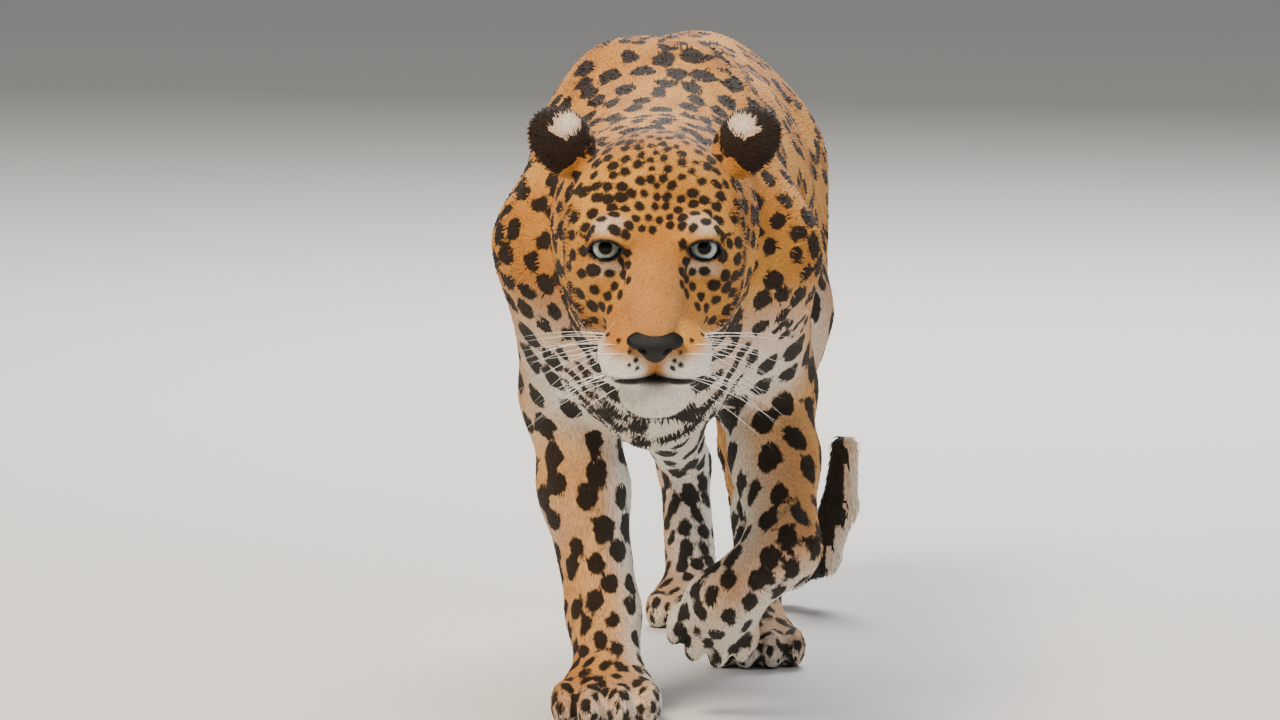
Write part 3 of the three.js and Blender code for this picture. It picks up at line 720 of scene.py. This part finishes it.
def ear_parts(p, normal, s):
    """Points on one ear, on its black back, and on the pale patch near its tip."""
    centre, axes = ear_frame(s)
    q = p - centre
    w, _, a = (q @ axes.T).T
    near = (np.linalg.norm(q, axis=1) < 42) & (a > -20) & (np.abs(p[:, 0]) > 60)
    patch = np.hypot((a - 10) / 11, (w + 3 * s) / 17) < 1
    return near, (normal @ axes[1] < 0.25), patch


class Marks:
    """Signed distance to the nearest mark at every skin point, and the darker rosette middles."""

    def __init__(self, p):
        self.p = p
        self.mark = np.full(len(p), 12.0)
        self.rust = np.zeros(len(p))
        self.tree = kdtree.KDTree(len(p))
        for i, v in enumerate(p):
            self.tree.insert(v, i)
        self.tree.balance()

    def around(self, centre, reach):
        return np.array([i for _, i, _ in self.tree.find_range(Vector(centre), reach)], int)

    def spot(self, centre, along, length, width):
        near = self.around(centre, length + 14)
        if not len(near):
            return
        q = self.p[near] - centre
        t = q @ along
        across = np.linalg.norm(q - t[:, None] * along, axis=1)
        d = (np.hypot(t / length, across / width) - 1) * min(length, width)
        self.mark[near] = np.minimum(self.mark[near], d)

    def rosette(self, centre, along, normal, radius, blob):
        """A broken ring of spots round a darker middle."""
        side = unit(np.cross(normal, along))
        pieces = random.integers(4, 6)
        start = random.uniform(0, 2 * math.pi)
        for j in range(pieces):
            a = start + 2 * math.pi * (j + random.uniform(-0.18, 0.18)) / pieces
            out = math.cos(a) * along * 1.15 + math.sin(a) * side
            turn = unit(-math.sin(a) * along + math.cos(a) * side)
            length = min(radius * 0.95, radius * math.pi / pieces * random.uniform(0.7, 0.95))
            self.spot(centre + out * radius, turn, length, blob * random.uniform(0.8, 1.15))
        near = self.around(centre, radius * 1.2)
        if len(near):
            d = np.linalg.norm(self.p[near] - centre, axis=1) / radius
            self.rust[near] = np.maximum(self.rust[near], np.clip(1.6 - 1.4 * d, 0, 1))


def lay_marks(p, normal, r):
    """Bars on the throat, rosettes on the flanks and spots elsewhere, then face, tail and ears."""
    marks = Marks(p)
    gap = spacing(p, r)
    way = lie_of_coat(p, normal, r)
    for i in scatter(p, gap, ~no_marks(p, r)):
        size, x = gap[i], random.uniform(0.85, 1.15)
        open_mark = r["head"][i] < 0.3 and r["tail"][i] < 0.5 and size > 29 and p[i, 2] > 330
        throat = p[i, 1] < -70 and 255 < p[i, 2] < 405 and abs(p[i, 0]) < 80 and r["head"][i] < 0.5
        if throat and random.uniform() < 0.75:
            across = unit(SIDE - normal[i] * normal[i, 0] + 0.25 * random.normal(size=3))
            marks.spot(p[i], across, 24 * x, 8.5)
        elif open_mark:
            blob = size * (0.17 if size < 40 else 0.145)
            marks.rosette(p[i], way[i], normal[i], size * 0.33 * x, blob)
        elif size < 14:
            marks.spot(p[i], way[i], size * 0.56 * x, size * 0.42 * x)
        else:
            marks.spot(p[i], way[i], size * 0.54 * x, size * 0.43 * random.uniform(0.8, 1.15))
    face_marks(marks)
    tail_tip = (p[:, 0] > TAIL_TIP_SIDE) & (p[:, 1] > TAIL_BEHIND)
    marks.mark = np.where(tail_tip, np.where(normal[:, 0] < 0.35, -4.0, 9.0), marks.mark)
    for s in (-1, 1):
        near, back, patch = ear_parts(p, normal, s)
        marks.mark = np.where(near, np.where(back & ~patch, -5.0, 8.0), marks.mark)
    return marks


def face_marks(marks):
    """Rows of dots under the whiskers, the eye corners and tear lines."""
    for s in (-1, 1):
        for row in range(4):
            for j in range(6):
                at = head_place(s * (17 + 6.2 * j), 110 - 9.5 * j, -42 - 8.5 * row - 1.0 * j)
                marks.spot(marks.p[marks.tree.find(Vector(at))[1]], FORWARD, 3.0, 2.3)
        place, axes = eye_frame(s)
        inner = place + axes[0] * (-s * 17) * np.sign(axes[0, 0]) + axes[2] * 12 - axes[1] * 3
        outer = place + axes[0] * (s * 18) * np.sign(axes[0, 0]) + axes[2] * 9 + axes[1] * 5
        for t in np.linspace(0, 1, 7):
            v = inner + t * np.array((-s * 4.0, -13, -24))
            marks.spot(marks.p[marks.tree.find(Vector(v))[1]], unit((0, -0.6, -0.8)), 6.5, 5.0 - 3.4 * t)
            v = outer + t * np.array((s * 16.0, 16, 9))
            marks.spot(marks.p[marks.tree.find(Vector(v))[1]], unit((s * 0.7, 0.6, 0.3)), 5.5, 3.4 - 2.0 * t)


def bare_weight(p, r):
    """Bare black skin: lips, rims of the lids, soles."""
    h = r["h"]
    half = 4.2 + 5.0 * np.exp(-(h[:, 0] / 20) ** 2)
    lips = np.exp(-((r["mouth"] + 2) / half) ** 4) * (h[:, 1] > 44) * (r["head"] > 0.5)
    rims = np.zeros(len(p))
    for s in (-1, 1):
        q = eye_local(p, s)
        rims = np.maximum(rims, np.clip((4.6 - lid_opening(q)) / 1.8, 0, 1) * (q[:, 2] > 0))
    soles = (p[:, 2] < 2.0) * 1.0
    return np.clip(np.maximum.reduce([lips, rims, soles]), 0, 1)


# Eyes, nose, whiskers, tufts


def joined_rings(rings, sides, first=0):
    """Triangles between neighbouring rings of vertices, numbered ring by ring."""
    a = first + np.arange(rings - 1)[:, None] * sides + np.arange(sides)
    b = first + np.arange(rings - 1)[:, None] * sides + (np.arange(sides) + 1) % sides
    return np.stack([a, b, b + sides, a, b + sides, a + sides], -1).reshape(-1, 3)


def cap(middle, first, sides):
    """Triangles from one vertex to a ring."""
    j = np.arange(sides)
    return np.stack([np.full(sides, middle), first + j, first + (j + 1) % sides], 1)


def build_eye(s, material):
    """A ball with the clear dome of the cornea: radius times the direction at each pair of angle
    from the gaze and turn round it, rings closer together near the gaze."""
    place, axes = eye_frame(s)
    rings, sides, dome = 40, 56, 1.6
    a = (np.linspace(0, 1, rings) ** 1.3 * math.pi)[1:-1, None, None]
    t = (2 * math.pi * np.arange(sides) / sides)[None, :, None]
    way = np.sin(a) * (np.cos(t) * axes[0] + np.sin(t) * axes[1]) + np.cos(a) * axes[2]
    body = place + way * (EYE_RADIUS + dome * np.clip(1 - (a / 0.72) ** 2, 0, 1))
    points = np.concatenate([[place + axes[2] * (EYE_RADIUS + dome)], body.reshape(-1, 3),
                             [place - axes[2] * EYE_RADIUS]])
    ring = np.where(a < math.pi / 2, EYE_RADIUS * np.sin(a), EYE_RADIUS) + 0 * t
    turn = np.abs(t - math.pi) + 0 * a
    last = len(points) - 1
    tris = np.concatenate([cap(0, 1, sides), joined_rings(rings - 2, sides, 1),
                           cap(last, 1 + (rings - 3) * sides, sides)])
    piece = mesh_object("eyeball_left" if s > 0 else "eyeball_right", points, tris, material)
    set_attribute(piece, "ring", np.concatenate([[0.0], ring.ravel(), [EYE_RADIUS]]))
    set_attribute(piece, "turn", np.concatenate([[0.0], turn.ravel(), [0.0]]))
    fix_normals(piece)
    return piece


def fix_normals(piece):
    b = bmesh.new()
    b.from_mesh(piece.data)
    bmesh.ops.recalc_face_normals(b, faces=b.faces)
    b.to_mesh(piece.data)
    b.free()


def nose_field(p):
    """The nose pad with its two nostrils and their slits to the side."""
    pad = blend(p, [ball(head_place(0, 104, -25), (26, 14, 9), axes=HEAD_AXES),
                    ball(head_place(0, 106, -36), (10, 10, 10), 12, HEAD_AXES)])
    for s in (-1, 1):
        hole = form_distance(ball(head_place(s * 12.5, 117, -28), (5.4, 8, 3.8), axes=HEAD_AXES), p)
        slit = limb(head_place(s * 15, 113, -30), 1.6, head_place(s * 26, 102, -34), 1.4)
        pad = smooth_max(pad, -np.minimum(hole, form_distance(slit, p)), 2)
    return pad


def build_nose(material):
    """The nose pad on a fine even grid."""
    low, high = head_place(0, 104, -26) - 34, head_place(0, 104, -26) + 34
    grid = [np.arange(a, b, 1.3) for a, b in zip(low, high)]
    points, quads = net_surface(nose_field, *grid)
    return mesh_object("nose_pad", pulled(nose_field, points, 2, 1.0), quads, material)


def tapered_tube(points, radius, sides=6):
    """Rings round a line of points, narrowing to a point, closed at both ends."""
    n = len(points)
    along = unit(np.gradient(points, axis=0))
    x = unit(np.cross(along, (0.3, 0.2, 1.0)))
    y = np.cross(along, x)
    size = radius * (1 - np.linspace(0, 0.97, n) ** 1.5)
    angle = 2 * math.pi * np.arange(sides) / sides
    ring = (points[:, None] + size[:, None, None] * (
        np.cos(angle)[None, :, None] * x[:, None] + np.sin(angle)[None, :, None] * y[:, None]))
    tris = np.concatenate([joined_rings(n, sides), cap(n * sides, 0, sides),
                           cap(n * sides + 1, (n - 1) * sides, sides)])
    return np.concatenate([ring.reshape(-1, 3), points[:1], points[-1:]]), tris


def build_whiskers(marks, material):
    """Four rows of drooping hairs on each side: root + reach (t out + t squared droop)."""
    meshes, offset = [], 0
    for s in (-1, 1):
        for row in range(4):
            for j in range(5):
                root = head_place(s * (26 + 5 * j), 100 - 8 * j, -46 - 7 * row)
                root = marks.p[marks.tree.find(Vector(root))[1]]
                reach = random.uniform(55, 105)
                out = unit(np.array((s * 1.0, 0.05 + 0.15 * j, 0.05 - 0.16 * row)))
                t = np.linspace(0, 1, 10)[:, None]
                droop = np.array((0, 0.12, -0.16 - 0.05 * row))
                line = root - 1.5 * out + t * reach * out + t * t * reach * droop
                points, tris = tapered_tube(line, 0.32)
                meshes.append((points, tris + offset))
                offset += len(points)
    piece = mesh_object("whiskers", np.concatenate([m[0] for m in meshes]),
                        np.concatenate([m[1] for m in meshes]), material)
    fix_normals(piece)
    return piece


def build_tufts(name, material, p, normal, way, values, roots, length, width, lift):
    """Flat pointed locks: a three-sided spike from each root along the lie of the coat."""
    n = len(roots)
    base, up, along = p[roots], normal[roots], way[roots]
    side = unit(np.cross(up, along))
    swing = random.normal(0, 0.16, n)[:, None]
    along = unit(along + side * swing)
    side = unit(np.cross(up, along))
    size = (length * random.uniform(0.7, 1.25, n))[:, None]
    wide = (width * random.uniform(0.8, 1.2, n))[:, None]
    rise = (lift * random.uniform(0.7, 1.3, n))[:, None]
    tip_way = unit(along + up * rise)
    base = base - up * 0.9
    middle = base + tip_way * size * 0.5 + up * 0.25 * wide
    tip = base + tip_way * size - up * 0.10 * size * 0.5
    corners = np.stack([base - side * wide, base + side * wide, base + up * wide * 0.9,
                        middle - side * wide * 0.75, middle + side * wide * 0.75,
                        middle + up * wide * 0.6, tip], 1)
    pattern = np.array([(0, 2, 5), (0, 5, 3), (2, 1, 4), (2, 4, 5), (1, 0, 3), (1, 3, 4),
                        (3, 5, 6), (5, 4, 6), (4, 3, 6), (0, 1, 2)])
    tris = (pattern[None] + 7 * np.arange(n)[:, None, None]).reshape(-1, 3)
    piece = mesh_object(name, corners.reshape(-1, 3), tris, material)
    for key, value in values.items():
        set_attribute(piece, key, np.repeat(value[roots], 7))
    bake_layer(piece, base, tris)
    return piece


def bake_layer(piece, base, tris):
    """Each tuft as a small patch at its root's place on an unwrap round the body's long axis."""
    angle = np.arctan2(base[:, 0] - 20, base[:, 2] - 420) / (2 * math.pi) + 0.5
    u = (base[:, 1] + 620) / 1560
    patch = np.array([(0, 0), (1, 0), (0.5, 0.2), (0.1, 0.5), (0.9, 0.5), (0.5, 0.6), (0.5, 1)]) * 0.003
    uv = np.stack([u, angle], 1)[:, None] * 0.99 + patch[None]
    layer = piece.data.uv_layers.new(name="OFBake")
    layer.data.foreach_set("uv", uv.reshape(-1, 2)[tris.ravel()].astype(np.float32).ravel())


def build_floor():
    """A pale floor for the picture."""
    half, z = 26000.0, -SHIFT[2]
    points = np.array([(-half, -half, z), (half, -half, z), (half, half, z), (-half, half, z)])
    look = plain_material("pale floor", "#d9d6d0", 0.9)
    floor = mesh_object("floor", points, np.array([(0, 1, 2, 3)]), look, False)


def add_light(name, place, target, size, power, tint):
    """A square area lamp turned to its target."""
    data = bpy.data.lights.new(name, "AREA")
    data.size, data.energy, data.color = size, power, colour(tint)[:3]
    lamp = bpy.data.objects.new(name, data)
    lamp.location = (np.array(place) + SHIFT) * MM
    aim = Vector(np.array(target, float) - np.array(place, float))
    lamp.rotation_euler = aim.to_track_quat("-Z", "Y").to_euler()
    bpy.context.collection.objects.link(lamp)


def stage_camera():
    """Long lens far ahead and a little above, estimated from the photo, with sky and three lamps."""
    data = bpy.data.cameras.new("camera")
    data.lens, data.sensor_width = LENS_MM, SENSOR_MM
    data.clip_end = 60.0
    camera = bpy.data.objects.new("camera", data)
    camera.location = (np.array(CAMERA_PLACE) + SHIFT) * MM
    camera.rotation_euler = (math.radians(90 - LOOK_DOWN), 0, 0)
    bpy.context.collection.objects.link(camera)
    bpy.context.scene.camera = camera
    world = bpy.data.worlds.new("studio")
    bpy.context.scene.world = world
    world.use_nodes = True
    world.node_tree.nodes["Background"].inputs[0].default_value = colour("#dfe6ee")
    world.node_tree.nodes["Background"].inputs[1].default_value = 0.28
    add_light("key", (-1500, -2600, 4200), (0, -100, 380), 1.6, 400, "#fff1dd")
    add_light("fill", (3400, -2600, 1800), (0, 0, 350), 3.0, 80, "#e4eeff")
    add_light("rim", (600, 3600, 3000), (0, 300, 400), 2.0, 260, "#ffffff")


def tuft_roots(weight, count):
    """Skin points drawn by weight, without repeats."""
    size = min(count, int((weight > 0).sum()))
    return np.sort(random.choice(len(weight), size=size, replace=False, p=weight / weight.sum()))


def area_at_vertices(mesh):
    """Each face's area shared out among its corners."""
    area, corners = np.empty(len(mesh.polygons), np.float32), np.empty(len(mesh.polygons), np.int32)
    mesh.polygons.foreach_get("area", area)
    mesh.polygons.foreach_get("loop_total", corners)
    vertex = np.empty(len(mesh.loops), np.int32)
    mesh.loops.foreach_get("vertex_index", vertex)
    share = area.astype(float) / corners
    return np.bincount(vertex, np.repeat(share, corners), len(mesh.vertices))


# The whole

coat = coat_material("short leopard fur", False)
tuft_coat = coat_material("leopard fur in tufts", True)
skin, p, normal = build_skin(coat)
r = regions(p)
marks = lay_marks(p, normal, r)
way = lie_of_coat(p, normal, r)
cream = cream_weight(p, normal, r)
cream = np.where(p[:, 1] < SHARP_CREAM, smoothed(skin, cream, 3), smoothed(skin, cream, 14))
gap = spacing(p, r)
loose = np.where(gap > 29, 0.4, np.clip(gap / 30, 0.2, 1.0)) * (1 - 0.6 * (p[:, 1] < FACE_COAT))
values = {
    "mark": marks.mark,
    "loose": smoothed(skin, loose, 4),
    "rust": marks.rust * (r["legs"] < 0.5),
    "cream": cream,
    "bare": bare_weight(p, r),
    "legs": np.clip(r["legs"] + r["tail"], 0, 1),
}
for key, value in values.items():
    set_attribute(skin, key, value)

FLESH = [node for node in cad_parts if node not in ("nose", "eye_left", "eye_right")]
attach(skin, "root")
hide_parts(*FLESH)
eye_look = eye_material()
for s, side_name in ((-1, "right"), (1, "left")):
    eye = build_eye(s, eye_look)
    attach(eye, "root")
    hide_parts(f"eye_{side_name}")
nose = build_nose(plain_material("damp black nose leather", "#0b0808", 0.5, 900.0, Specular_IOR_Level=0.3))
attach(nose, "root")
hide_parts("nose")
whiskers = build_whiskers(marks, plain_material("stiff white whisker hair", "#f4f1ea", 0.4))
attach(whiskers, "root")

bare = values["bare"]
body = (r["head"] < 0.5) & (p[:, 2] > 12) & (bare < 0.3)
# where on the skin, number, length, half width, lift from the skin
TUFTS = {
    "coat_body": (body & (r["legs"] < 0.5), 19500, 9.5, 1.2, 0.12),
    "coat_limbs": (body & (r["legs"] >= 0.5), 15000, 6.5, 0.9, 0.11),
    "coat_head": ((r["head"] >= 0.5) & (p[:, 1] > FACE_COAT) & (bare < 0.3), 16000, 6.5, 0.7, 0.12),
    "coat_ruff": ((p[:, 1] > FINE_PULL) & (p[:, 1] < -340) & ((np.abs(p[:, 0]) > 58) | (p[:, 2] < 425))
                  & (p[:, 2] < 530), 7000, 11.0, 0.8, 0.12),
    "coat_chest": (body & (p[:, 2] < 330) & (r["legs"] < 0.5) & (r["tail"] < 0.5),
                   8000, 13.0, 0.9, 0.13),
    "coat_tail": ((r["tail"] > 0.5) & (p[:, 0] > 95), 5000, 11.0, 0.8, 0.16),
    "coat_ears": ((np.abs(p[:, 0]) > 62) & (p[:, 2] > 560) & (p[:, 1] < -330), 2500, 7.0, 0.55, 0.35),
    "coat_chin": ((r["h"][:, 1] > 40) & (r["mouth"] < -5) & (bare < 0.2), 4000, 7.0, 0.45, 0.14),
    "coat_face": ((p[:, 1] <= FACE_COAT) & (bare < 0.2) & (r["h"][:, 1] < 96), 18000, 2.8, 0.36, 0.10),
}
vertex_area = area_at_vertices(skin.data)
for name, (mask, count, length, width, lift) in TUFTS.items():
    roots = tuft_roots(vertex_area * mask, count)
    tufts = build_tufts(name, tuft_coat, p, normal, way, values, roots, length, width, lift)
    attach(tufts, "root")

build_floor()
stage_camera()
